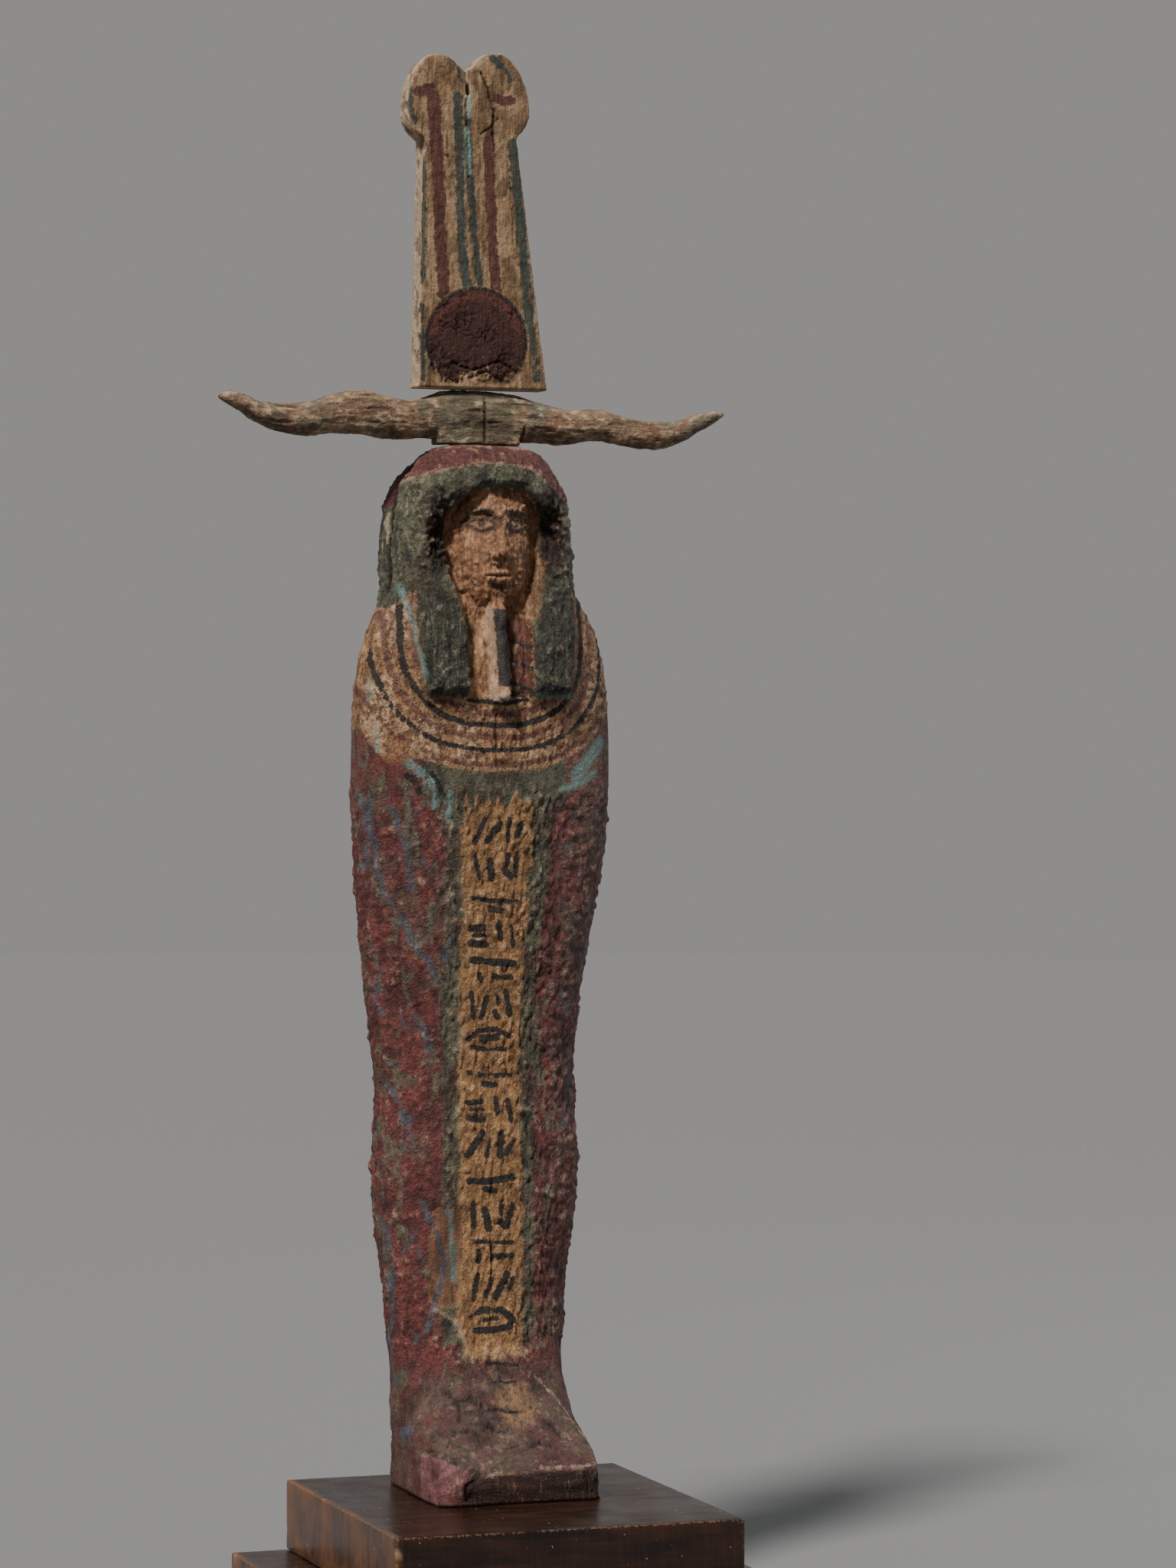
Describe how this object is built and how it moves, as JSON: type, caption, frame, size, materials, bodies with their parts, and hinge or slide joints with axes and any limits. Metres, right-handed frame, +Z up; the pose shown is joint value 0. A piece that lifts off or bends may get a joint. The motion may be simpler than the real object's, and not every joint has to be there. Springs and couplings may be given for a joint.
{
  "type": "painted ptah-sokar-osiris figure",
  "caption": "Mummy-shaped painted wooden figure with wig, beard, ram horns and tall plumes, standing on a stepped wooden plinth.",
  "frame": {"origin": "middle of the plinth's underside", "axes": "+Z up along the figure, the figure faces -Y, +X to the right of someone who faces the figure"},
  "size_m": [0.2336, 0.185, 0.6882],
  "materials": {
    "plinth_wood": "dark polished wood with worn edges",
    "painted_body": "lumpy plaster with faded red, green, ochre and black paint",
    "weathered_horns": "weathered bare wood with rests of green and cream paint",
    "painted_plumes": "tan painted wood with red and dark green stripes and a red disc"
  },
  "bodies": {
    "root": {"plinth_lower_step": "plinth_wood", "plinth_upper_block": "plinth_wood", "mummiform_figure": "painted_body", "ram_horns": "weathered_horns", "feather_plumes": "painted_plumes"}
  },
  "joints": []
}
